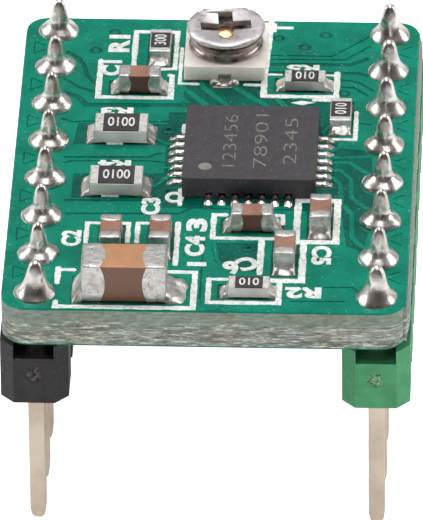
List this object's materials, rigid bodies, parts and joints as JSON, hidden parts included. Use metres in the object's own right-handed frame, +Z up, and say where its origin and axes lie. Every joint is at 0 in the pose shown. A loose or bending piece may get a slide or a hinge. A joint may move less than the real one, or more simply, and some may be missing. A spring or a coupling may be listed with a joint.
{
  "type": "stepper driver module",
  "caption": "Small plug-in driver board on two rows of square header pins, with a leadless driver chip, chip components and a trimmer potentiometer whose slotted rotor turns.",
  "frame": {"origin": "on the plane of the pin tips, midway between the two pin rows and midway along them", "axes": "+Z up, from the pin tips to the components; +Y along the pin rows, towards the trimmer; +X towards the row with the green header"},
  "size_m": [0.0152, 0.0204, 0.0117],
  "materials": {
    "board_laminate": "woven glass and epoxy, cut edge",
    "solder_mask": "glossy green lacquer",
    "tinned_copper": "tinned",
    "header_black": "moulded, satin",
    "header_green": "moulded, satin",
    "pin_metal": "matt tin over brass",
    "solder": "bright, uneven",
    "chip_mould": "fine matt moulding",
    "chip_lead": "tinned",
    "silicon": "polished",
    "trimmer_ceramic": "cream, matt",
    "resistive_film": "matt",
    "nickel_sheet": "plated",
    "rivet_brass": "bright",
    "rotor_steel": "satin, plated",
    "alumina": "white, matt",
    "black_glaze": "satin",
    "tin_plating": "matt tin",
    "capacitor_tan": "satin",
    "capacitor_brown": "satin"
  },
  "bodies": {
    "module": {"board_core": "board_laminate", "bulk_capacitor_body": "capacitor_tan", "bulk_capacitor_caps": "tin_plating", "capacitor_chip_front_body": "capacitor_brown", "capacitor_chip_front_caps": "tin_plating", "capacitor_front_right_body": "capacitor_brown", "capacitor_front_right_caps": "tin_plating", "capacitor_left_body": "capacitor_brown", "capacitor_left_caps": "tin_plating", "capacitor_middle_body": "capacitor_brown", "capacitor_middle_caps": "tin_plating", "capacitor_rear_left_body": "capacitor_brown", "capacitor_rear_left_caps": "tin_plating", "capacitor_right_body": "capacitor_brown", "capacitor_right_caps": "tin_plating", "component_pads": "tinned_copper", "driver_die": "silicon", "driver_heat_pad": "chip_lead", "driver_leads": "chip_lead", "driver_mould": "chip_mould", "driver_solder": "solder", "header_left": "header_black", "header_right": "header_green", "passive_solder": "solder", "pin_solder_left": "solder", "pin_solder_right": "solder", "pins_left": "pin_metal", "pins_right": "pin_metal", "plated_holes_left": "tinned_copper", "plated_holes_right": "tinned_copper", "resistor_front_coating": "black_glaze", "resistor_front_substrate": "alumina", "resistor_front_terminals": "tin_plating", "resistor_rear_left_coating": "black_glaze", "resistor_rear_left_substrate": "alumina", "resistor_rear_left_terminals": "tin_plating", "resistor_rear_right_coating": "black_glaze", "resistor_rear_right_substrate": "alumina", "resistor_rear_right_terminals": "tin_plating", "resistor_right_coating": "black_glaze", "resistor_right_substrate": "alumina", "resistor_right_terminals": "tin_plating", "sense_resistor_lower_coating": "black_glaze", "sense_resistor_lower_substrate": "alumina", "sense_resistor_lower_terminals": "tin_plating", "sense_resistor_upper_coating": "black_glaze", "sense_resistor_upper_substrate": "alumina", "sense_resistor_upper_terminals": "tin_plating", "solder_mask_bottom": "solder_mask", "solder_mask_top": "solder_mask", "trimmer_base": "trimmer_ceramic", "trimmer_end_terminals": "nickel_sheet", "trimmer_rivet": "rivet_brass", "trimmer_solder": "solder", "trimmer_track": "resistive_film", "trimmer_wiper_terminal": "nickel_sheet", "vias": "tinned_copper"},
    "rotor": {"trimmer_rotor": "rotor_steel"}
  },
  "joints": [
    {"name": "trimmer_turn", "type": "hinge", "parent": "module", "child": "rotor", "pos_m": [0.00015, 0.00706, 0.0113], "axis": [0, 0, 1], "range_deg": [-115, 115]}
  ]
}
